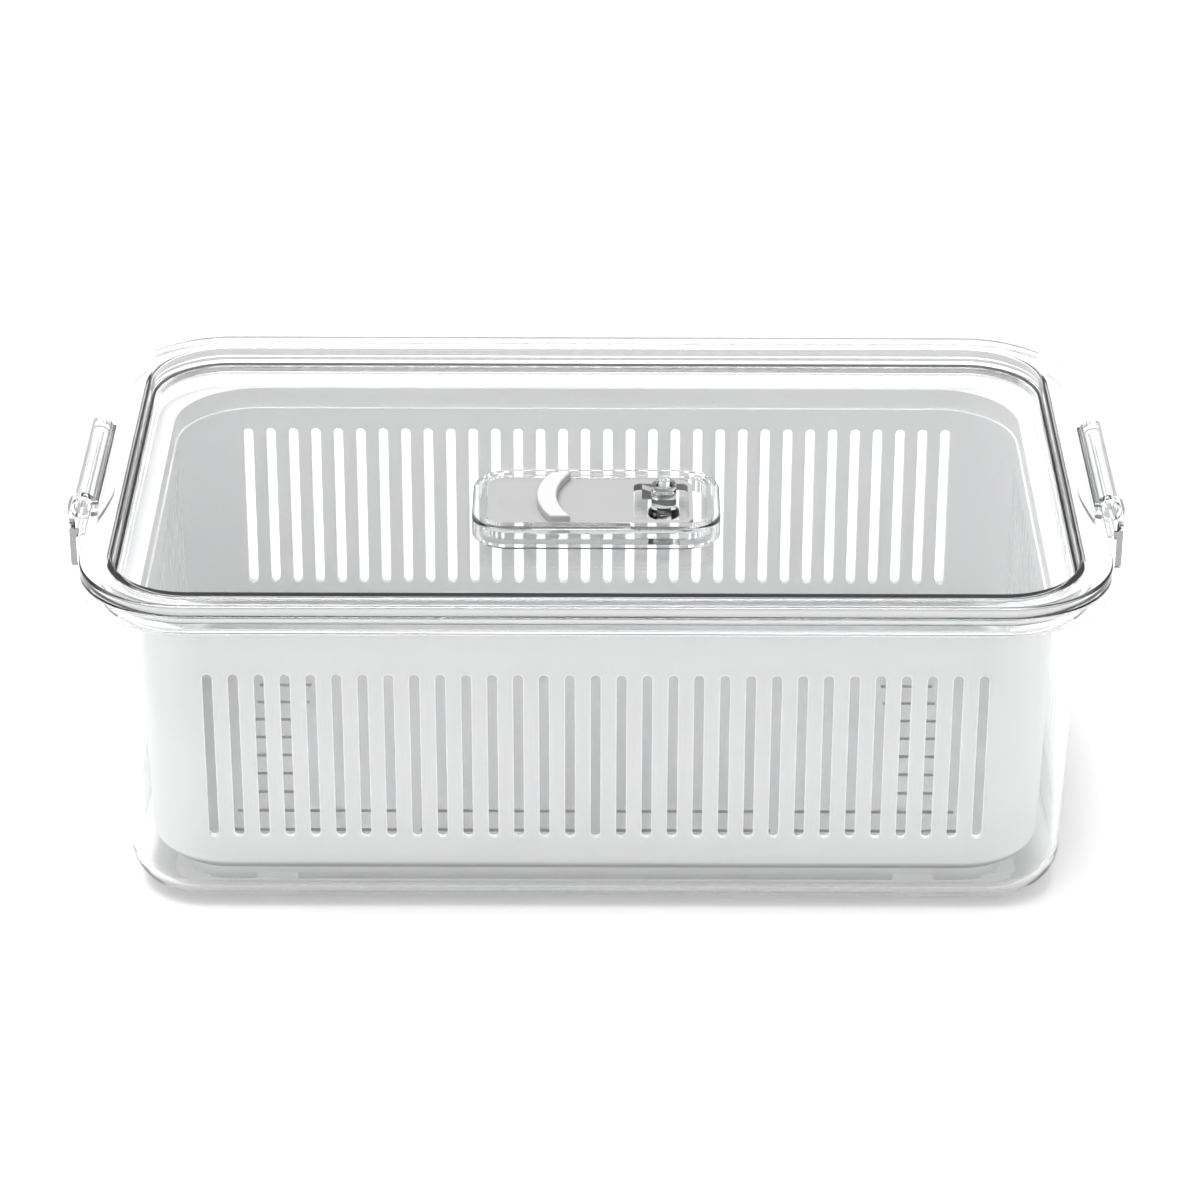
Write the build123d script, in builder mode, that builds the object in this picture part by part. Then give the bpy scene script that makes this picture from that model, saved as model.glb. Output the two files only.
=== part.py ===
from build123d import *
from math import radians, tan
import os

os.makedirs("parts", exist_ok=True)

# An airtight fridge container with a drain basket. A clear tub holds a frosted basket on a foot ring,
# and a clear lid closes on a silicone seal with two end latches and a sliding vent.
# Millimetres, +Z up, length along X, origin at the middle of the tub's underside.

# Tub
rim_length = 290.0
rim_width = 180.0
rim_corner = 32.0
tub_height = 100.8
tub_wall = 1.9
tub_floor = 2.2
tub_draft = 1.4
tub_bottom_radius = 12.0
cut_past = 0.1
rim_overhang = 8.4
rim_depth = 5.4
rim_skin = 2.0
rim_edge_radius = 0.7
shoulder_drop = 5.2

# Lid
flange_thickness = 2.9
lid_gap = 0.3
flange_width = 9.6
recess_depth = 5.0
plug_wall = 1.8
panel_thickness = 1.6
plug_clearance = 0.35
lid_edge_radius = 0.9

# Seal
seal_width = 2.3
seal_side_gap = 0.3
seal_rib_thickness = 1.2
seal_rib_height = 1.5

# Basket
basket_end_gap = 4.12
basket_side_gap = 0.42
basket_corner = 24.0
basket_top_drop = 10.1
basket_rise = 7.9
basket_wall = 1.6
basket_floor = 1.8
basket_draft = 1.0
basket_bottom_radius = 8.0
basket_collar_height = 6.6
basket_collar_step = 0.6
basket_lip_thickness = 1.4
basket_lip_gap = 0.5
slot_width = 3.1
slot_length = 53.6
slot_top_drop = 13.5
slot_end_margin = 19.9
slot_standoff = 2.0
front_slots = 31
back_slots = 32
end_slots = 15
end_slot_pitch = 7.24
floor_slot_width = 1.7
floor_slot_pitch = 10.8
long_slot_length = 48.0
long_slot_gap = 6.0
long_slot_columns = 4
long_slot_rows = 2
short_slot_length = 16.0
short_slot_middle_x = 96.0
short_slot_rows = 7
foot_ring_inset = 10.2
foot_ring_thickness = 1.6
foot_notch_width = 12.0
foot_notch_height = 3.0
foot_notch_x = 92.0

# Latches
latch_length = 50.0
latch_barrel_radius = 4.4
latch_wall = 1.9
latch_hinge_out = 2.6
latch_hinge_drop = 1.8
latch_leg_drop = 21.0
latch_hook_height = 3.0
latch_hook_reach = 1.5
latch_clearance = 0.3
hinge_bar_radius = 2.4
hinge_bar_clearance = 0.05
hinge_ear_thickness = 2.0
hinge_ear_radius = 3.2
snap_slot_width = 3.0
latch_corner_radius = 4.2
ledge_length = 63.0
ledge_bulge = 4.2
ledge_thickness = 1.6

# Vent
pod_length = 71.0
pod_width = 39.5
pod_corner = 11.0
pod_height = 6.1
pod_middle_y = -25.5
pod_floor = 1.5
pod_gap = 0.1
pod_skin = 1.5
pod_edge_radius = 1.0
runner_length = 24.0
runner_middle_x = -6.2
runner_height = 1.4
runner_reach = 1.2
runner_overlap = 0.5
runner_side_clearance = 0.2
click_nub_radius = 1.0
click_nub_height = 0.7
click_nub_x = -2.5
slider_length = 59.0
slider_width = 29.0
slider_corner = 5.0
slider_thickness = 2.0
slider_drop = 0.8
slider_travel = 3.6
slider_clearance = 0.3
window_length = 15.6
window_width = 23.0
window_corner = 2.0
window_end_frame = 1.3
grip_height = 2.6
grip_width = 5.6
grip_span = 28.0
grip_middle_x = -12.2
grip_bow = 4.0
grip_edge_radius = 0.6
thumb_dish_radius = 38.0
thumb_dish_depth = 0.5
stem_middle_x = 19.4
stem_radius = 3.6
stem_neck_depth = 0.5
stem_cap_height = 1.4
stem_neck_height = 1.0
stem_base_height = 1.2
stem_cone_height = 0.4
stem_edge_radius = 0.5
stem_guide_clearance = 0.08
guide_hole_radius = 4.6
stem_top_rise = 5.1
stem_lug_width = 4.0
stem_lug_side_gap = 0.4
stem_lug_rise = 1.8
ramp_slope = 0.35
ramp_width = 3.0
ramp_gap = 0.08
ramp_rise_height = 1.3
ramp_end_margin = 2.4
ramp_tip_cut = 0.6
ramp_frame_overlap = 0.8
ramp_cut_past = 0.5
vent_hole_radius = 1.9
valve_disc_radius = 4.2
valve_disc_thickness = 1.4
valve_nose_clearance = 0.3
valve_nose_length = 2.1

# Heights worked out from the sizes above
rim_bottom = tub_height - rim_depth
shoulder = tub_height - shoulder_drop
flange_bottom = tub_height + lid_gap
lid_top = flange_bottom + flange_thickness
panel_top = lid_top - recess_depth
panel_bottom = panel_top - panel_thickness
pod_low = panel_top + pod_gap
pod_top = pod_low + pod_height
pod_floor_top = pod_low + pod_floor
slider_top = pod_top - slider_drop
slider_bottom = slider_top - slider_thickness
hinge_z = lid_top - latch_hinge_drop
basket_top = tub_height - basket_top_drop
basket_underside = tub_floor + basket_rise
slot_middle_height = basket_top - slot_top_drop - slot_length / 2
hinge_x = rim_length / 2 + latch_hinge_out

# Plan sizes worked out from the sizes above
recess_length = rim_length - 2 * flange_width
recess_width = rim_width - 2 * flange_width
recess_corner = rim_corner - flange_width
plug_length = recess_length + 2 * plug_wall
plug_width = recess_width + 2 * plug_wall
plug_corner = recess_corner + plug_wall
mouth_length = plug_length + 2 * plug_clearance
mouth_width = plug_width + 2 * plug_clearance
mouth_corner = plug_corner + plug_clearance
body_length = rim_length - 2 * rim_overhang
body_width = rim_width - 2 * rim_overhang
body_corner = rim_corner - rim_overhang


def tub_shrink(height):
    """How far the drafted tub wall stands in at a height, from its place at the rim."""
    return (rim_bottom - height) * tan(radians(tub_draft))


def rounded_outline(length, width, corner, height):
    """A rounded rectangle lying flat at a height."""
    with BuildSketch(Plane.XY.offset(height)) as outline:
        RectangleRounded(length, width, corner)
    return outline.sketch


def grown_outline(base_length, base_width, base_corner, grow, height):
    """A rounded rectangle with every side moved out by the same amount."""
    return rounded_outline(base_length + 2 * grow, base_width + 2 * grow, base_corner + grow, height)


def basin(length, width, corner, low, high, draft, bottom_radius):
    """A drafted rounded block with a rounded bottom edge, sized at its low end."""
    with BuildPart() as block:
        extrude(rounded_outline(length, width, corner, low), amount=high - low, taper=-draft)
        fillet(block.faces().sort_by(Axis.Z)[0].edges(), bottom_radius)
    return block.part


# Tub
tub_outside = basin(body_length - 2 * tub_shrink(0), body_width - 2 * tub_shrink(0),
                    body_corner - tub_shrink(0), 0, rim_bottom, tub_draft, tub_bottom_radius)
inside_shrink = tub_wall + tub_shrink(tub_floor)
tub_inside = basin(body_length - 2 * inside_shrink, body_width - 2 * inside_shrink,
                   body_corner - inside_shrink, tub_floor, shoulder + cut_past, tub_draft,
                   tub_bottom_radius - tub_wall)
with BuildPart() as tub:
    add(tub_outside)
    collar_low = shoulder - tub_wall
    extrude(grown_outline(mouth_length, mouth_width, mouth_corner, tub_wall, collar_low),
            amount=tub_height - collar_low)
    extrude(rounded_outline(rim_length, rim_width, rim_corner, rim_bottom), amount=rim_depth)
    fillet(tub.faces().sort_by(Axis.Z)[-1].edges(), rim_edge_radius)
    add(tub_inside, mode=Mode.SUBTRACT)
    extrude(rounded_outline(mouth_length, mouth_width, mouth_corner, shoulder),
            amount=tub_height - shoulder, mode=Mode.SUBTRACT)
    with BuildSketch(Plane.XY.offset(rim_bottom)) as rim_channel:
        RectangleRounded(rim_length - 2 * rim_skin, rim_width - 2 * rim_skin, rim_corner - rim_skin)
        RectangleRounded(mouth_length + 2 * tub_wall, mouth_width + 2 * tub_wall,
                         mouth_corner + tub_wall, mode=Mode.SUBTRACT)
    extrude(amount=rim_depth - rim_skin, mode=Mode.SUBTRACT)
    # A lens shaped web under each end of the rim, where the latch hook pulls
    ledge_x = rim_length / 2 - rim_skin / 2
    for side in (-1, 1):
        with BuildSketch(Plane.XY.offset(rim_bottom)) as catch_ledge:
            with BuildLine() as ledge_line:
                Line((side * ledge_x, -ledge_length / 2), (side * ledge_x, ledge_length / 2))
                ThreePointArc((side * ledge_x, ledge_length / 2),
                              (side * (ledge_x - ledge_bulge), 0),
                              (side * ledge_x, -ledge_length / 2))
            make_face()
        extrude(amount=ledge_thickness)
    # Scallops that let the latch barrels turn
    scallop_half = latch_length / 2 + hinge_ear_thickness + 2 * latch_clearance
    for side in (-1, 1):
        with BuildSketch(Plane.XZ) as scallop:
            with Locations((side * hinge_x, hinge_z)):
                Circle(latch_barrel_radius + latch_clearance)
        extrude(amount=scallop_half, both=True, mode=Mode.SUBTRACT)
tub.part.label = "tub"
export_step(tub.part, "parts/tub.step")

# Lid
with BuildPart() as lid:
    extrude(rounded_outline(rim_length, rim_width, rim_corner, flange_bottom), amount=flange_thickness)
    fillet(lid.edges().group_by(Axis.Z)[-1], lid_edge_radius)
    extrude(rounded_outline(plug_length, plug_width, plug_corner, panel_bottom),
            amount=lid_top - panel_bottom - lid_edge_radius)
    extrude(rounded_outline(recess_length, recess_width, recess_corner, panel_top),
            amount=recess_depth, mode=Mode.SUBTRACT)
    fillet(lid.edges().group_by(Axis.Z)[-1], lid_edge_radius)
    # A rib under the panel keeps the seal in its place
    with BuildSketch(Plane.XY.offset(panel_bottom - seal_rib_height)) as seal_rib:
        rib_grow = -seal_width - seal_side_gap
        add(grown_outline(plug_length, plug_width, plug_corner, rib_grow, 0))
        add(grown_outline(plug_length, plug_width, plug_corner, rib_grow - seal_rib_thickness, 0),
            mode=Mode.SUBTRACT)
    extrude(amount=seal_rib_height)
    # The vent hole
    with BuildSketch(Plane.XY.offset(panel_bottom)) as vent_hole:
        with Locations((stem_middle_x, pod_middle_y)):
            Circle(vent_hole_radius)
    extrude(amount=panel_thickness, mode=Mode.SUBTRACT)
    # Scallops, hinge bars and ears for the two latches
    gap_half = latch_length / 2 + latch_clearance
    for side in (-1, 1):
        with BuildSketch(Plane.XZ) as lid_scallop:
            with Locations((side * hinge_x, hinge_z)):
                Circle(latch_barrel_radius + latch_clearance)
        extrude(amount=gap_half, both=True, mode=Mode.SUBTRACT)
        with BuildSketch(Plane.XZ) as hinge_bar:
            with Locations((side * hinge_x, hinge_z)):
                Circle(hinge_bar_radius)
        extrude(amount=gap_half + hinge_ear_thickness / 2, both=True)
        for end in (-1, 1):
            ear_y = end * (gap_half + hinge_ear_thickness / 2)
            with BuildSketch(Plane.XZ.offset(-ear_y)) as ear:
                with Locations((side * hinge_x, hinge_z)):
                    Circle(hinge_ear_radius)
                with Locations((side * (hinge_x - hinge_ear_radius / 2), hinge_z)):
                    Rectangle(hinge_ear_radius, 2 * (hinge_z - flange_bottom))
            extrude(amount=hinge_ear_thickness / 2, both=True)
lid.part.label = "lid"
export_step(lid.part, "parts/lid.step")

# Seal
with BuildPart() as lid_seal:
    with BuildSketch(Plane.XY.offset(shoulder)) as seal_ring:
        add(grown_outline(plug_length, plug_width, plug_corner, -seal_side_gap / 2, shoulder))
        add(grown_outline(plug_length, plug_width, plug_corner,
                          -seal_side_gap / 2 - seal_width, shoulder), mode=Mode.SUBTRACT)
    extrude(amount=panel_bottom - shoulder)
lid_seal.part.label = "lid_seal"
export_step(lid_seal.part, "parts/lid_seal.step")

# Drain basket
basket_inset = tub_wall + tub_shrink(basket_underside)
basket_length = body_length - 2 * (basket_inset + basket_end_gap)
basket_width = body_width - 2 * (basket_inset + basket_side_gap)
slot_span = basket_length - 2 * slot_end_margin
collar_low = basket_top - basket_collar_height
lean = tan(radians(basket_draft))
basket_outside = basin(basket_length, basket_width, basket_corner, basket_underside,
                       basket_top, basket_draft, basket_bottom_radius)
basket_inside = basin(basket_length - 2 * basket_wall, basket_width - 2 * basket_wall,
                      basket_corner - basket_wall, basket_underside + basket_floor,
                      basket_top + cut_past, basket_draft, basket_bottom_radius - basket_wall)
collar_grow = basket_collar_step + lean * (collar_low - basket_underside)
lip_shrink = tub_wall + tub_shrink(basket_top) + basket_lip_gap
with BuildPart() as drain_basket:
    add(basket_outside)
    extrude(grown_outline(basket_length, basket_width, basket_corner, collar_grow, collar_low),
            amount=basket_collar_height)
    extrude(grown_outline(body_length, body_width, body_corner, -lip_shrink,
                          basket_top - basket_lip_thickness), amount=basket_lip_thickness)
    add(basket_inside, mode=Mode.SUBTRACT)
    extrude(grown_outline(basket_length, basket_width, basket_corner, collar_grow - basket_wall,
                          collar_low), amount=basket_collar_height, mode=Mode.SUBTRACT)
    # Long side slots, one fewer pitch in front than behind over the same span
    cut_depth = basket_bottom_radius
    for face, count in ((1, front_slots), (-1, back_slots)):
        with BuildSketch(Plane.XZ.offset(face * (basket_width / 2 + slot_standoff))) as side_slots:
            with Locations((0, slot_middle_height)):
                with GridLocations(slot_span / (count - 1), 1, count, 1):
                    SlotOverall(slot_length, slot_width, rotation=90)
        extrude(amount=-face * cut_depth, mode=Mode.SUBTRACT)
    # End wall slots
    for face in (1, -1):
        with BuildSketch(Plane.YZ.offset(face * (basket_length / 2 + slot_standoff))) as end_wall_slots:
            with Locations((0, slot_middle_height)):
                with GridLocations(end_slot_pitch, 1, end_slots, 1):
                    SlotOverall(slot_length, slot_width, rotation=90)
        extrude(amount=-face * cut_depth, mode=Mode.SUBTRACT)
    # A ring under the floor holds the basket above the water, with notches to let it level out
    with BuildSketch(Plane.XY.offset(tub_floor)) as foot_ring:
        add(grown_outline(basket_length, basket_width, basket_corner, -foot_ring_inset, tub_floor))
        add(grown_outline(basket_length, basket_width, basket_corner,
                          -foot_ring_inset - foot_ring_thickness, tub_floor), mode=Mode.SUBTRACT)
    extrude(amount=basket_underside + basket_floor / 2 - tub_floor)
    with BuildSketch(Plane.XY.offset(tub_floor)) as foot_notches:
        with Locations((-foot_notch_x, 0), (foot_notch_x, 0)):
            Rectangle(foot_notch_width, basket_width)
        Rectangle(basket_length, foot_notch_width)
    extrude(amount=foot_notch_height, mode=Mode.SUBTRACT)
    # Floor slots: two long rows beside each long wall, short ones between them near the ends
    row_count = 2 * long_slot_rows + short_slot_rows
    long_row_middle = floor_slot_pitch * (row_count - long_slot_rows) / 2
    with BuildSketch(Plane.XY.offset(basket_underside - cut_past)) as drain_slots:
        with Locations((0, -long_row_middle), (0, long_row_middle)):
            with GridLocations(long_slot_length + long_slot_gap, floor_slot_pitch,
                               long_slot_columns, long_slot_rows):
                Rectangle(long_slot_length, floor_slot_width)
        with GridLocations(2 * short_slot_middle_x, floor_slot_pitch, 2, short_slot_rows):
            Rectangle(short_slot_length, floor_slot_width)
    extrude(amount=basket_floor + 2 * cut_past, mode=Mode.SUBTRACT)
drain_basket.part.label = "drain_basket"
export_step(drain_basket.part, "parts/drain_basket.step")

# End latches
hook_top = rim_bottom - latch_clearance
leg_outer = hinge_x + latch_barrel_radius
leg_inner = leg_outer - latch_wall
leg_low = hinge_z - latch_leg_drop
hook_tip = rim_length / 2 - latch_hook_reach
for side, name in ((-1, "left_latch"), (1, "right_latch")):
    with BuildPart() as latch:
        with BuildSketch(Plane.XZ) as latch_section:
            with Locations((side * hinge_x, hinge_z)):
                Circle(latch_barrel_radius)
            with Locations((side * (leg_inner + leg_outer) / 2, (hinge_z + leg_low) / 2)):
                Rectangle(latch_wall, hinge_z - leg_low)
            with BuildLine() as hook_line:
                Polyline((side * leg_outer, hook_top), (side * hook_tip, hook_top),
                         (side * hook_tip, hook_top - latch_hook_height / 3),
                         (side * leg_inner, hook_top - latch_hook_height),
                         (side * leg_outer, hook_top - latch_hook_height), close=True)
            make_face()
            with Locations((side * hinge_x, hinge_z)):
                Circle(hinge_bar_radius + hinge_bar_clearance, mode=Mode.SUBTRACT)
            with Locations((side * hinge_x, hinge_z - latch_barrel_radius)):
                Rectangle(snap_slot_width, 2 * latch_barrel_radius, mode=Mode.SUBTRACT)
        extrude(amount=latch_length / 2, both=True)
        leg_corners = latch.edges().filter_by(Axis.X).group_by(Axis.Z)[0]
        fillet(leg_corners, latch_corner_radius)
    latch.part.label = name
    export_step(latch.part, f"parts/{name}.step")

# Vent housing
opening_length = slider_length + slider_travel + 2 * slider_clearance
opening_width = slider_width + 2 * slider_clearance
opening_corner = slider_corner + slider_clearance
slider_rest_x = -slider_travel / 2
runner_z = (slider_top + slider_bottom) / 2
runner_low_x = runner_middle_x - runner_length / 2 - slider_clearance
runner_high_x = runner_middle_x + runner_length / 2 + slider_travel + slider_clearance
with BuildPart() as vent_housing:
    with BuildSketch(Plane.XY.offset(pod_low)) as pod_outline:
        with Locations((0, pod_middle_y)):
            RectangleRounded(pod_length, pod_width, pod_corner)
    extrude(amount=pod_height)
    fillet(vent_housing.faces().sort_by(Axis.Z)[-1].edges(), pod_edge_radius)
    with BuildSketch(Plane.XY.offset(pod_floor_top)) as pod_opening:
        with Locations((0, pod_middle_y)):
            RectangleRounded(opening_length, opening_width, opening_corner)
    extrude(amount=pod_height, mode=Mode.SUBTRACT)
    with BuildSketch(Plane.XY.offset(pod_low)) as pod_channel:
        with Locations((0, pod_middle_y)):
            RectangleRounded(pod_length - 2 * pod_skin, pod_width - 2 * pod_skin, pod_corner - pod_skin)
            RectangleRounded(opening_length + 2 * pod_skin, opening_width + 2 * pod_skin,
                             opening_corner + pod_skin, mode=Mode.SUBTRACT)
    extrude(amount=pod_height - pod_skin, mode=Mode.SUBTRACT)
    # Slots in the inner frame for the slider's runners
    with BuildSketch(Plane.XY.offset(runner_z - runner_height / 2 - runner_side_clearance)) as runner_slot:
        with Locations(((runner_low_x + runner_high_x) / 2, pod_middle_y)):
            Rectangle(runner_high_x - runner_low_x, opening_width + 2 * (pod_skin + cut_past))
    extrude(amount=runner_height + 2 * runner_side_clearance, mode=Mode.SUBTRACT)
    with BuildSketch(Plane.XY.offset(pod_low)) as guide_hole:
        with Locations((stem_middle_x, pod_middle_y)):
            Circle(guide_hole_radius)
    extrude(amount=pod_floor, mode=Mode.SUBTRACT)
vent_housing.part.label = "vent_housing"
export_step(vent_housing.part, "parts/vent_housing.step")

# Vent slider
window_x = slider_rest_x + slider_length / 2 - window_end_frame - window_length / 2
ramp_foot = pod_floor_top + 2 * ramp_gap
ramp_z = ramp_foot + ramp_rise_height
ramp_low_x = window_x - window_length / 2 + ramp_end_margin
ramp_high_x = stem_middle_x + ramp_rise_height / ramp_slope - ramp_tip_cut
with BuildPart() as vent_slider:
    with BuildSketch(Plane.XY.offset(slider_bottom)) as plate:
        with Locations((slider_rest_x, pod_middle_y)):
            RectangleRounded(slider_length, slider_width, slider_corner)
        with Locations((window_x, pod_middle_y)):
            RectangleRounded(window_length, window_width, window_corner, mode=Mode.SUBTRACT)
    extrude(amount=slider_thickness)
    # The shallow dish for the thumb
    dish_x = grip_middle_x - grip_width - grip_bow
    with Locations((dish_x, pod_middle_y, slider_top + thumb_dish_radius - thumb_dish_depth)):
        Sphere(thumb_dish_radius, mode=Mode.SUBTRACT)
    # The crescent grip
    with BuildSketch(Plane.XY.offset(slider_top - thumb_dish_depth)) as crescent:
        with BuildLine() as crescent_line:
            near_y = pod_middle_y - grip_span / 2
            far_y = pod_middle_y + grip_span / 2
            left_x = grip_middle_x - grip_width / 2 - grip_bow / 2
            right_x = left_x + grip_width
            ThreePointArc((left_x + grip_bow, near_y), (left_x, pod_middle_y), (left_x + grip_bow, far_y))
            Line((left_x + grip_bow, far_y), (right_x + grip_bow, far_y))
            ThreePointArc((right_x + grip_bow, far_y), (right_x, pod_middle_y),
                          (right_x + grip_bow, near_y))
            Line((right_x + grip_bow, near_y), (left_x + grip_bow, near_y))
        make_face()
    extrude(amount=grip_height + thumb_dish_depth)
    fillet(vent_slider.edges().group_by(Axis.Z)[-1], grip_edge_radius)
    # Runners with a click nub on each long edge
    with BuildSketch(Plane.XY.offset(runner_z - runner_height / 2)) as runners:
        with Locations((runner_middle_x, pod_middle_y)):
            Rectangle(runner_length, slider_width + 2 * runner_reach)
            Rectangle(runner_length + 2 * runner_overlap, slider_width - 2 * runner_overlap,
                      mode=Mode.SUBTRACT)
    extrude(amount=runner_height)
    nub_y = slider_width / 2 + runner_reach
    with BuildSketch(Plane.XY.offset(runner_z - runner_height / 2)) as click_nubs:
        with Locations((click_nub_x, pod_middle_y - nub_y), (click_nub_x, pod_middle_y + nub_y)):
            Circle(click_nub_radius)
    extrude(amount=click_nub_height)
    # Ramps on both sides of the window lift the valve stem's lugs
    with BuildSketch(Plane.XZ.offset(-pod_middle_y)) as ramp:
        with BuildLine() as ramp_line:
            Polyline((ramp_low_x, ramp_foot), (ramp_high_x, ramp_foot),
                     (ramp_high_x, ramp_z - ramp_slope * (ramp_high_x - stem_middle_x)),
                     (ramp_low_x, ramp_z - ramp_slope * (ramp_low_x - stem_middle_x)), close=True)
        make_face()
    ramp_outer = window_width / 2 + ramp_frame_overlap
    extrude(ramp.sketch, amount=ramp_outer, both=True)
    with Locations((window_x, pod_middle_y, (ramp_foot + slider_top) / 2)):
        Box(window_length, 2 * (window_width / 2 - ramp_width), slider_top - ramp_foot + 2 * ramp_cut_past,
            mode=Mode.SUBTRACT)
vent_slider.part.label = "vent_slider"
export_step(vent_slider.part, "parts/vent_slider.step")

# Valve stem
stem_low = panel_top + valve_disc_thickness
stem_top = pod_top + stem_top_rise
lug_half = window_width / 2 - stem_lug_side_gap
lug_low = ramp_z + ramp_gap
lug_top = lug_low + stem_lug_rise
with BuildPart() as valve_stem:
    with BuildSketch(Plane.XZ.offset(-pod_middle_y)) as stem_profile:
        with BuildLine() as stem_line:
            base_radius = guide_hole_radius - stem_guide_clearance
            neck_top = stem_top - stem_cap_height
            neck_low = neck_top - stem_neck_height
            Polyline((stem_middle_x, stem_low), (stem_middle_x + base_radius, stem_low),
                     (stem_middle_x + base_radius, stem_low + stem_base_height),
                     (stem_middle_x + stem_radius, stem_low + stem_base_height + stem_cone_height),
                     (stem_middle_x + stem_radius, neck_low),
                     (stem_middle_x + stem_radius - stem_neck_depth, neck_low + stem_neck_depth),
                     (stem_middle_x + stem_radius - stem_neck_depth, neck_top),
                     (stem_middle_x + stem_radius, neck_top),
                     (stem_middle_x + stem_radius, stem_top), (stem_middle_x, stem_top), close=True)
        make_face()
    revolve(axis=Axis((stem_middle_x, pod_middle_y, 0), (0, 0, 1)))
    fillet(valve_stem.edges().group_by(Axis.Z)[-1], stem_edge_radius)
    with BuildSketch(Plane.XZ.offset(-pod_middle_y)) as lug:
        with BuildLine() as lug_line:
            half = stem_lug_width / 2
            Polyline((stem_middle_x - half, lug_low + ramp_slope * half),
                     (stem_middle_x + half, lug_low - ramp_slope * half),
                     (stem_middle_x + half, lug_top), (stem_middle_x - half, lug_top), close=True)
        make_face()
    extrude(lug.sketch, amount=lug_half, both=True)
valve_stem.part.label = "valve_stem"
export_step(valve_stem.part, "parts/valve_stem.step")

# Valve seal
with BuildPart() as valve_seal:
    with BuildSketch(Plane.XY.offset(panel_top)) as disc:
        with Locations((stem_middle_x, pod_middle_y)):
            Circle(valve_disc_radius)
    extrude(amount=valve_disc_thickness)
    with BuildSketch(Plane.XY.offset(panel_top - valve_nose_length)) as nose:
        with Locations((stem_middle_x, pod_middle_y)):
            Circle(vent_hole_radius - valve_nose_clearance)
    extrude(amount=valve_nose_length)
valve_seal.part.label = "valve_seal"
export_step(valve_seal.part, "parts/valve_seal.step")
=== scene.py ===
"""Clear fridge container with a frosted drain basket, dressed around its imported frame."""
import logging
import math
from dataclasses import dataclass
from enum import Enum

import bmesh
import bpy
from mathutils import Euler, Matrix, Vector


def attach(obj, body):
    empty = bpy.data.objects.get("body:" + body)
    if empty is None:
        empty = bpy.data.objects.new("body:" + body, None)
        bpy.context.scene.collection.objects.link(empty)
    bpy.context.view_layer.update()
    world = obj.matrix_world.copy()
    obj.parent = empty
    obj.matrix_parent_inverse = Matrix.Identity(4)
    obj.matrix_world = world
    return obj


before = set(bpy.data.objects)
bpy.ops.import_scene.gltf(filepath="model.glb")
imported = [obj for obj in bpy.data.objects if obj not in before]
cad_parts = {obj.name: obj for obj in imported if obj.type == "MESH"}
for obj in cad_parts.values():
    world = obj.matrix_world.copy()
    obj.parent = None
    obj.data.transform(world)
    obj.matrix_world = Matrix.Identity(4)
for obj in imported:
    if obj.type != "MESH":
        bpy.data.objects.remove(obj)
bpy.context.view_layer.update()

LOG = logging.getLogger("container")
logging.basicConfig(level=logging.INFO, format="%(name)s: %(message)s")

MM = 0.001

Colour = tuple[float, float, float]
Place = tuple[float, float, float]
Tree = bpy.types.NodeTree
Socket = bpy.types.NodeSocket

WHITE: Colour = (1.0, 1.0, 1.0)


class Grain(Enum):
    """How a moulded surface was textured in its mould."""

    SATIN = 0.35
    MATT = 1.0


class Space(Enum):
    """The coordinates that a pattern reads."""

    PIECE = "Object"
    SKY = "Generated"


class Wall(Enum):
    """The basket's walls, each by the turn that brings the front wall there."""

    FRONT = 0.0
    BACK = math.pi
    LEFT = -math.pi / 2
    RIGHT = math.pi / 2


def opaque(colour: Colour) -> tuple[float, float, float, float]:
    """Give a colour its full cover."""
    return (*colour, 1.0)


def plain_nodes(name: str) -> tuple[bpy.types.Material, Tree, bpy.types.Node]:
    """Start a material that holds one principled shader.

    Args:
        name: the material's name.

    Returns:
        The material, its node tree and its principled shader.
    """
    material = bpy.data.materials.new(name)
    material.use_nodes = True
    tree = material.node_tree
    return material, tree, tree.nodes["Principled BSDF"]


def object_noise(tree: Tree, scale: float, detail: float) -> Socket:
    """Add a noise texture that is fixed to the piece.

    Args:
        tree: the material's node tree.
        scale: how many features lie in a metre.
        detail: the noise's octaves.

    Returns:
        The socket with the noise, from 0 to 1.
    """
    place = tree.nodes.new("ShaderNodeTexCoord")
    noise = tree.nodes.new("ShaderNodeTexNoise")
    noise.inputs["Scale"].default_value = scale
    noise.inputs["Detail"].default_value = detail
    tree.links.new(place.outputs[Space.PIECE.value], noise.inputs["Vector"])
    return noise.outputs["Fac"]


def height_of_point(tree: Tree, space: Space) -> Socket:
    """Read how high the shaded point lies.

    Args:
        tree: the node tree of a material or of the world.
        space: the coordinates to read.

    Returns:
        The socket with the point's Z.
    """
    place = tree.nodes.new("ShaderNodeTexCoord")
    split = tree.nodes.new("ShaderNodeSeparateXYZ")
    tree.links.new(place.outputs[space.value], split.inputs["Vector"])
    return split.outputs["Z"]


def remap(tree: Tree, source: Socket, low: float, high: float) -> Socket:
    """Stretch a value from 0..1 to low..high.

    Args:
        tree: the material's node tree.
        source: the socket to read.
        low: the result at 0.
        high: the result at 1.

    Returns:
        The socket with the stretched value.
    """
    spread = tree.nodes.new("ShaderNodeMapRange")
    spread.inputs["To Min"].default_value = low
    spread.inputs["To Max"].default_value = high
    tree.links.new(source, spread.inputs["Value"])
    return spread.outputs["Result"]


def arithmetic(tree: Tree, operation: str, *values: Socket | float) -> Socket:
    """Work out one sum in a node tree.

    Args:
        tree: the material's node tree.
        operation: the name of the sum.
        values: the sockets to read and the plain numbers, in the order of the sum.

    Returns:
        The socket with the result.
    """
    node = tree.nodes.new("ShaderNodeMath")
    node.operation = operation
    for inlet, value in zip(node.inputs, values):
        if isinstance(value, Socket):
            tree.links.new(value, inlet)
        else:
            inlet.default_value = value
    return node.outputs["Value"]


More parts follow.
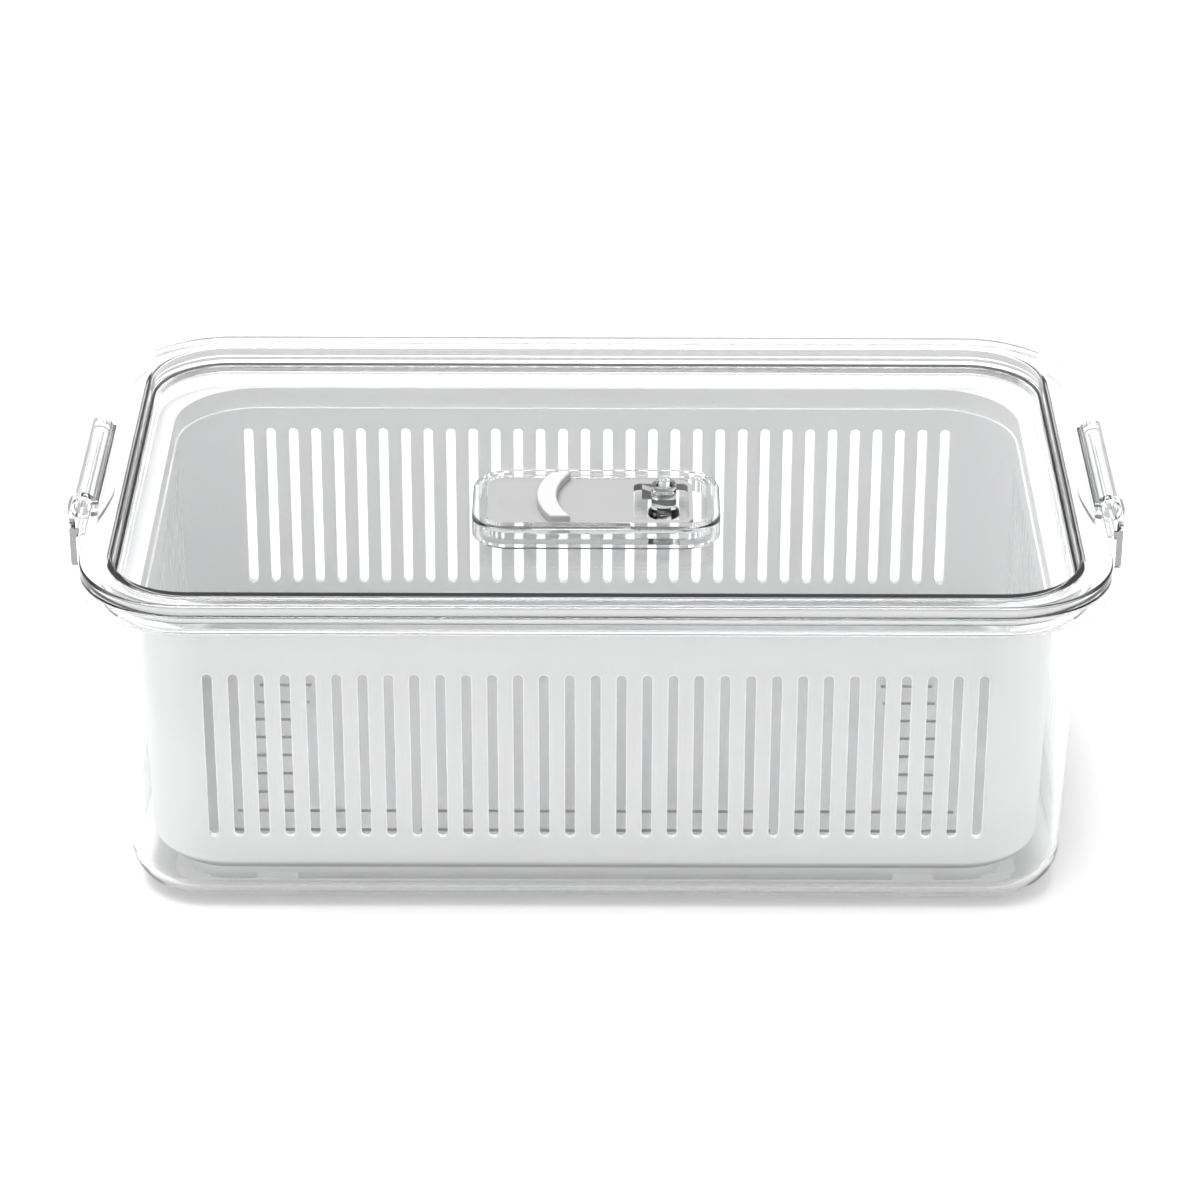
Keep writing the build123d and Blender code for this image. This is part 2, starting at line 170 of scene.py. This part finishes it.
def add_bump(tree: Tree, shader: bpy.types.Node, height: Socket, strength: float,
             depth: float) -> None:
    """Make a surface uneven.

    Args:
        tree: the material's node tree.
        shader: the shader that gets the uneven surface.
        height: the socket with the height, from 0 to 1.
        strength: the share of the unevenness that shows.
        depth: the real height of the bumps.
    """
    bump = tree.nodes.new("ShaderNodeBump")
    bump.inputs["Strength"].default_value = strength
    bump.inputs["Distance"].default_value = depth
    tree.links.new(height, bump.inputs["Height"])
    tree.links.new(bump.outputs["Normal"], shader.inputs["Normal"])


@dataclass(frozen=True)
class ClearPlastic:
    """A transparent moulding with slight flow ripple and a grey edge tint."""

    name: str
    tint: Colour = (0.985, 0.988, 0.99)
    index: float = 1.47
    ripple: float = 0.005
    ripple_scale: float = 26.0
    ripple_detail: float = 1.0
    ripple_depth: float = 0.4 * MM
    haze: float = 0.03
    haze_scale: float = 900.0
    haze_detail: float = 2.0
    density: float = 3.0
    edge_tint: Colour = (0.3, 0.31, 0.32)

    def build(self) -> bpy.types.Material:
        """Make the material.

        Returns:
            The finished material.
        """
        material, tree, shader = plain_nodes(self.name)
        shader.inputs["Base Color"].default_value = opaque(self.tint)
        shader.inputs["Transmission Weight"].default_value = 1.0
        shader.inputs["IOR"].default_value = self.index
        fine = object_noise(tree, self.haze_scale, self.haze_detail)
        tree.links.new(remap(tree, fine, 0.0, self.haze), shader.inputs["Roughness"])
        flow = object_noise(tree, self.ripple_scale, self.ripple_detail)
        add_bump(tree, shader, flow, self.ripple, self.ripple_depth)
        absorb = tree.nodes.new("ShaderNodeVolumeAbsorption")
        absorb.inputs["Color"].default_value = opaque(self.edge_tint)
        absorb.inputs["Density"].default_value = self.density
        tree.links.new(absorb.outputs["Volume"], tree.nodes["Material Output"].inputs["Volume"])
        return material


@dataclass(frozen=True)
class PaintedShadeLayer:
    """A level stretch of a moulding painted darker than the rest, as painted shade where it gets
    less light.

    It reaches as far above its height as below, and then blends into the plain colour.
    """

    brightness: float
    height: float
    reach: float = 1.0 * MM
    blend: float = 2.0 * MM

    def paint_shade(self, tree: Tree, colour: Socket) -> Socket:
        """Paint shade into a colour: darker around the layer's height.

        Args:
            tree: the material's node tree.
            colour: the socket with the plain colour.

        Returns:
            The socket with the colour and its painted shade.
        """
        above = arithmetic(tree, "SUBTRACT", height_of_point(tree, Space.PIECE), self.height)
        away = arithmetic(tree, "ABSOLUTE", above)
        share = tree.nodes.new("ShaderNodeMapRange")
        share.inputs["From Min"].default_value = self.reach
        share.inputs["From Max"].default_value = self.reach + self.blend
        share.inputs["To Min"].default_value = self.brightness
        share.inputs["To Max"].default_value = 1.0
        tree.links.new(away, share.inputs["Value"])
        deepen = tree.nodes.new("ShaderNodeVectorMath")
        deepen.operation = "SCALE"
        tree.links.new(colour, deepen.inputs["Vector"])
        tree.links.new(share.outputs["Result"], deepen.inputs["Scale"])
        return deepen.outputs["Vector"]


@dataclass(frozen=True)
class MouldedPlastic:
    """An opaque moulding with a fine mould grain and faint flow shading."""

    name: str
    colour: Colour
    roughness: float = 0.42
    grain: Grain = Grain.SATIN
    # painted highlight: white emission that brightens a surface though it is no lamp
    painted_glow: float = 0.0
    shine: float = 0.5
    # painted shade: an optional level stretch whose colour is made darker
    layer: PaintedShadeLayer | None = None
    flow_scale: float = 14.0
    flow_detail: float = 3.0
    flow_dark: float = 0.99
    flow_pale: float = 1.015
    grain_scale: float = 2400.0
    grain_detail: float = 2.0
    grain_strength: float = 0.12
    grain_depth: float = 0.1 * MM
    gloss_spread: float = 0.06

    def flow_colour(self, tree: Tree) -> Socket:
        """Mix the slightly darker and paler plastic that the flow leaves.

        Args:
            tree: the material's node tree.

        Returns:
            The socket with the colour.
        """
        dark = tuple(part * self.flow_dark for part in self.colour)
        pale = tuple(min(1.0, part * self.flow_pale) for part in self.colour)
        mix = tree.nodes.new("ShaderNodeMix")
        mix.data_type = "RGBA"
        mix.inputs["A"].default_value = opaque(dark)
        mix.inputs["B"].default_value = opaque(pale)
        flow = object_noise(tree, self.flow_scale, self.flow_detail)
        tree.links.new(flow, mix.inputs["Factor"])
        return mix.outputs["Result"]

    def build(self) -> bpy.types.Material:
        """Make the material.

        Returns:
            The finished material.
        """
        material, tree, shader = plain_nodes(self.name)
        colour = self.flow_colour(tree)
        # paint the layer's shade into the colour
        if self.layer is not None:
            colour = self.layer.paint_shade(tree, colour)
        tree.links.new(colour, shader.inputs["Base Color"])
        fine = object_noise(tree, self.grain_scale, self.grain_detail)
        glossy = self.roughness - self.gloss_spread
        dull = self.roughness + self.gloss_spread
        tree.links.new(remap(tree, fine, glossy, dull), shader.inputs["Roughness"])
        add_bump(tree, shader, fine, self.grain_strength * self.grain.value, self.grain_depth)
        # emission for the painted highlight, off unless set
        shader.inputs["Emission Color"].default_value = opaque(WHITE)
        shader.inputs["Emission Strength"].default_value = self.painted_glow
        shader.inputs["Specular IOR Level"].default_value = self.shine
        return material


@dataclass(frozen=True)
class SweepPaper:
    """The floor's matt paper, lifted to white where it is in view or seen through plastic."""

    name: str = "white_sweep"
    colour: Colour = (0.74, 0.74, 0.74)
    lift_in_view: float = 0.25
    lift_through: float = 0.26

    def build(self) -> bpy.types.Material:
        """Make the material.

        Returns:
            The finished material.
        """
        material, tree, shader = plain_nodes(self.name)
        shader.inputs["Base Color"].default_value = opaque(self.colour)
        shader.inputs["Roughness"].default_value = 1.0
        shader.inputs["Specular IOR Level"].default_value = 0.0
        path = tree.nodes.new("ShaderNodeLightPath").outputs
        bent = arithmetic(tree, "MAXIMUM", path["Is Transmission Ray"], path["Is Glossy Ray"])
        through = arithmetic(tree, "MULTIPLY", bent, self.lift_through)
        lift = arithmetic(tree, "MULTIPLY_ADD", path["Is Camera Ray"], self.lift_in_view, through)
        shader.inputs["Emission Color"].default_value = opaque(WHITE)
        tree.links.new(lift, shader.inputs["Emission Strength"])
        return material


def dress(node: str, material: bpy.types.Material) -> None:
    """Give a node of the frame one finish.

    Args:
        node: the node's name.
        material: the finish.
    """
    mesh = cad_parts[node].data
    mesh.materials.clear()
    mesh.materials.append(material)
    LOG.info("dressed %s in %s", node, material.name)


def add_piece(name: str, shape: bmesh.types.BMesh, material: bpy.types.Material
              ) -> bpy.types.Object:
    """Put a modelled shape in the scene.

    Args:
        name: the piece's name.
        shape: the shape, which is used up.
        material: the piece's finish.

    Returns:
        The piece's object.
    """
    mesh = bpy.data.meshes.new(name)
    shape.to_mesh(mesh)
    shape.free()
    mesh.materials.append(material)
    piece = bpy.data.objects.new(name, mesh)
    bpy.context.scene.collection.objects.link(piece)
    return piece


@dataclass(frozen=True)
class SlotRow:
    """A row of upright slots in one wall of the basket.

    The wall stands at a distance from the middle at its foot and leans out by the draft.
    """

    wall: Wall
    count: int
    pitch: float
    foot_distance: float
    foot_height: float = 10.1 * MM
    draft: float = math.radians(1.0)
    middle_height: float = 50.4 * MM
    length: float = 53.6 * MM
    width: float = 3.1 * MM

    def place(self, middle: float) -> Matrix:
        """Work out where one slot's edge lies, from an upright edge at the origin.

        Args:
            middle: the slot's place along the wall.

        Returns:
            The move from the origin to the wall's outer face.
        """
        out = self.foot_distance + (self.middle_height - self.foot_height) * math.tan(self.draft)
        return (Matrix.Rotation(self.wall.value, 4, "Z")
                @ Matrix.Translation((middle, -out, self.middle_height))
                @ Matrix.Rotation(self.draft, 4, "X"))

    def middles(self) -> list[float]:
        """List the places of the slots along the wall."""
        return [(place - (self.count - 1) / 2) * self.pitch for place in range(self.count)]


@dataclass
class SlotLips:
    """The rounded edges of the basket's slots, which catch the light; their paler colour and faint
    emission are a painted highlight.
    """

    rows: tuple[SlotRow, ...]
    radius: float = 0.22 * MM
    section_sides: int = 6
    end_steps: int = 8
    weld: float = 0.01 * MM
    # painted highlight: the lips are paler than the basket and emit a little light, though no lamp
    finish: MouldedPlastic = MouldedPlastic(
        "slot_lip", (0.97, 0.97, 0.97), roughness=0.2, painted_glow=0.12)

    def add_lip(self, shape: bmesh.types.BMesh, row: SlotRow, middle: float) -> None:
        """Run a round bead along the edge of one slot.

        The bead's ring goes up one side, over the top, down the other side and under the foot.

        Args:
            shape: the mesh that gets the bead.
            row: the row that the slot stands in.
            middle: the slot's place along the wall.
        """
        first = len(shape.verts)
        end_radius = row.width / 2
        straight = row.length - row.width
        low = Vector((0, 0, -straight / 2))
        ring = bmesh.ops.create_circle(shape, cap_ends=False, segments=self.section_sides,
                                       radius=self.radius)["verts"]
        bmesh.ops.translate(shape, verts=ring, vec=low + Vector((end_radius, 0, 0)))
        edges = list({edge for corner in ring for edge in corner.link_edges})
        for end in (-low, low):
            side = bmesh.ops.extrude_edge_only(shape, edges=edges)["geom"]
            raised = [part for part in side if isinstance(part, bmesh.types.BMVert)]
            bmesh.ops.translate(shape, verts=raised, vec=2 * end)
            edges = [part for part in side if isinstance(part, bmesh.types.BMEdge)
                     and all(corner in raised for corner in part.verts)]
            turned = bmesh.ops.spin(shape, geom=edges, cent=end, axis=(0, -1, 0), angle=math.pi,
                                    steps=self.end_steps, use_merge=False)["geom_last"]
            edges = [part for part in turned if isinstance(part, bmesh.types.BMEdge)]
        shape.verts.ensure_lookup_table()
        bmesh.ops.transform(shape, matrix=row.place(middle), verts=shape.verts[first:])

    def build(self) -> None:
        """Make one piece of lips for each wall."""
        material = self.finish.build()
        for row in self.rows:
            shape = bmesh.new()
            for middle in row.middles():
                self.add_lip(shape, row, middle)
            bmesh.ops.remove_doubles(shape, verts=shape.verts, dist=self.weld)
            bmesh.ops.recalc_face_normals(shape, faces=shape.faces)
            for face in shape.faces:
                face.smooth = True
            lips = add_piece(f"slot_lips_{row.wall.name.lower()}", shape, material)
            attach(lips, "basket")
            LOG.info("%s: %d slots", lips.name, row.count)


@dataclass
class Vessel:
    """The tub and the basket that stands in it. The basket's sizes are those at its foot."""

    basket_length: float = 256.99 * MM
    basket_width: float = 154.39 * MM
    slot_span: float = 217.19 * MM
    front_slots: int = 31
    back_slots: int = 32
    end_slots: int = 15
    end_pitch: float = 7.24 * MM
    tub_finish: ClearPlastic = ClearPlastic("clear_tub")
    # painted shade: the basket's floor level is made darker, for the dim drip space under it seen
    # through the slots
    basket_finish: MouldedPlastic = MouldedPlastic(
        "frosted_basket", (0.93, 0.93, 0.93), roughness=0.38, layer=PaintedShadeLayer(0.36, 12.2 * MM))

    def slot_rows(self) -> tuple[SlotRow, ...]:
        """List the rows of slots, one for each wall.

        Returns:
            The rows of the front, back, left and right wall.
        """
        side = self.basket_width / 2
        end = self.basket_length / 2
        front_pitch = self.slot_span / (self.front_slots - 1)
        back_pitch = self.slot_span / (self.back_slots - 1)
        return (
            SlotRow(Wall.FRONT, self.front_slots, front_pitch, side),
            SlotRow(Wall.BACK, self.back_slots, back_pitch, side),
            SlotRow(Wall.LEFT, self.end_slots, self.end_pitch, end),
            SlotRow(Wall.RIGHT, self.end_slots, self.end_pitch, end),
        )

    def build(self) -> None:
        """Dress both mouldings and edge the slots."""
        dress("tub", self.tub_finish.build())
        dress("drain_basket", self.basket_finish.build())
        SlotLips(self.slot_rows()).build()


@dataclass
class Cover:
    """The lid, its seal and its two latches."""

    lid_finish: ClearPlastic = ClearPlastic("clear_lid")
    latch_finish: ClearPlastic = ClearPlastic("clear_latch", density=14.0)
    seal_finish: MouldedPlastic = MouldedPlastic(
        "silicone_seal", (0.62, 0.62, 0.62), roughness=0.5, grain=Grain.MATT)

    def build(self) -> None:
        """Dress the lid, seal and latches."""
        dress("lid", self.lid_finish.build())
        latch = self.latch_finish.build()
        dress("left_latch", latch)
        dress("right_latch", latch)
        dress("lid_seal", self.seal_finish.build())


@dataclass
class Vent:
    """The pod on the lid with its slider and valve."""

    pod_finish: ClearPlastic = ClearPlastic("clear_pod", density=12.0)
    # painted shade: the slider's plate is made darker than its grip, for light that catches the
    # grip more
    slider_finish: MouldedPlastic = MouldedPlastic(
        "grey_slider", (0.42, 0.42, 0.42), roughness=0.45, shine=0.2,
        layer=PaintedShadeLayer(0.64, 103.0 * MM, reach=1.5 * MM, blend=0.4 * MM))
    stem_finish: ClearPlastic = ClearPlastic("clear_stem", index=1.28)
    seal_finish: MouldedPlastic = MouldedPlastic(
        "valve_silicone", (0.6, 0.6, 0.6), roughness=0.5, grain=Grain.MATT)

    def build(self) -> None:
        """Dress the pod, slider, stem and valve seal."""
        dress("vent_housing", self.pod_finish.build())
        dress("vent_slider", self.slider_finish.build())
        dress("valve_stem", self.stem_finish.build())
        dress("valve_seal", self.seal_finish.build())


@dataclass(frozen=True)
class Lamp:
    """A square soft lamp that faces the container, with its place and side in metres."""

    name: str
    place: Place
    side: float
    watts: float
    aim_height: float = 50.0 * MM

    def hang(self) -> None:
        """Put the lamp in the scene."""
        light = bpy.data.lights.new(self.name, "AREA")
        light.size = self.side
        light.energy = self.watts
        holder = bpy.data.objects.new(self.name, light)
        holder.location = Vector(self.place)
        aim = Vector((0, 0, self.aim_height)) - Vector(self.place)
        holder.rotation_euler = aim.to_track_quat("-Z", "Y").to_euler()
        bpy.context.scene.collection.objects.link(holder)


@dataclass(frozen=True)
class Viewpoint:
    """The photograph's camera, with its place, lens and sensor in mm and its angles in degrees."""

    place: Place = (1.14, -1109.1, 648.48)
    pitch: float = 28.0
    roll: float = 0.15
    lens: float = 126.67
    sensor: float = 36.0
    far_end: float = 50.0

    def stand(self) -> None:
        """Put the camera in the scene and look through it."""
        data = bpy.data.cameras.new("camera")
        data.lens = self.lens
        data.sensor_width = self.sensor
        data.clip_end = self.far_end
        camera = bpy.data.objects.new("camera", data)
        camera.location = Vector(self.place) * MM
        turn = Euler((math.radians(90 - self.pitch), 0, 0)).to_matrix()
        roll = Euler((0, 0, math.radians(self.roll))).to_matrix()
        camera.rotation_euler = (turn @ roll).to_euler()
        bpy.context.scene.collection.objects.link(camera)
        bpy.context.scene.camera = camera


@dataclass
class Studio:
    """A white sweep, a pale dome, three soft lamps and the camera."""

    floor_half: float = 6.0
    floor_finish: SweepPaper = SweepPaper()
    horizon: float = 0.7
    white_from: float = 0.6
    dome_strength: float = 0.76
    lamps: tuple[Lamp, ...] = (
        Lamp("key", (-0.3, 0.1, 1.8), side=1.6, watts=60.0),
        Lamp("fill", (1.3, -0.6, 1.1), side=1.2, watts=3.0),
        Lamp("front", (0.0, -2.2, 0.7), side=1.6, watts=3.0),
    )
    viewpoint: Viewpoint = Viewpoint()
    clear_bounces: int = 24
    glossy_bounces: int = 8
    transparent_bounces: int = 16

    def build_floor(self) -> None:
        """Lay the pale floor, which keeps the shadow."""
        shape = bmesh.new()
        bmesh.ops.create_grid(shape, x_segments=1, y_segments=1, size=self.floor_half)
        floor = add_piece("floor", shape, self.floor_finish.build())

    def build_world(self) -> None:
        """Light the scene from a dome that pales from the horizon up."""
        world = bpy.data.worlds.new("studio")
        bpy.context.scene.world = world
        world.use_nodes = True
        tree = world.node_tree
        back = tree.nodes["Background"]
        ramp = tree.nodes.new("ShaderNodeValToRGB")
        horizon, top = ramp.color_ramp.elements
        horizon.position = 0.0
        horizon.color = opaque((self.horizon, self.horizon, self.horizon))
        top.position = self.white_from
        top.color = opaque(WHITE)
        tree.links.new(height_of_point(tree, Space.SKY), ramp.inputs["Fac"])
        tree.links.new(ramp.outputs["Color"], back.inputs["Color"])
        back.inputs["Strength"].default_value = self.dome_strength

    def set_render(self) -> None:
        """Keep the colours plain and let light pass all the clear walls."""
        scene = bpy.context.scene
        scene.view_settings.view_transform = "Standard"
        scene.cycles.max_bounces = self.clear_bounces
        scene.cycles.transmission_bounces = self.clear_bounces
        scene.cycles.glossy_bounces = self.glossy_bounces
        scene.cycles.transparent_max_bounces = self.transparent_bounces

    def build(self) -> None:
        """Make the floor, the light and the camera."""
        self.build_floor()
        self.build_world()
        for lamp in self.lamps:
            lamp.hang()
        self.viewpoint.stand()
        self.set_render()
        LOG.info("studio: %d lamps", len(self.lamps))


def main() -> None:
    """Build the parts in order."""
    Vessel().build()
    Cover().build()
    Vent().build()
    Studio().build()


if __name__ == "__main__":
    main()
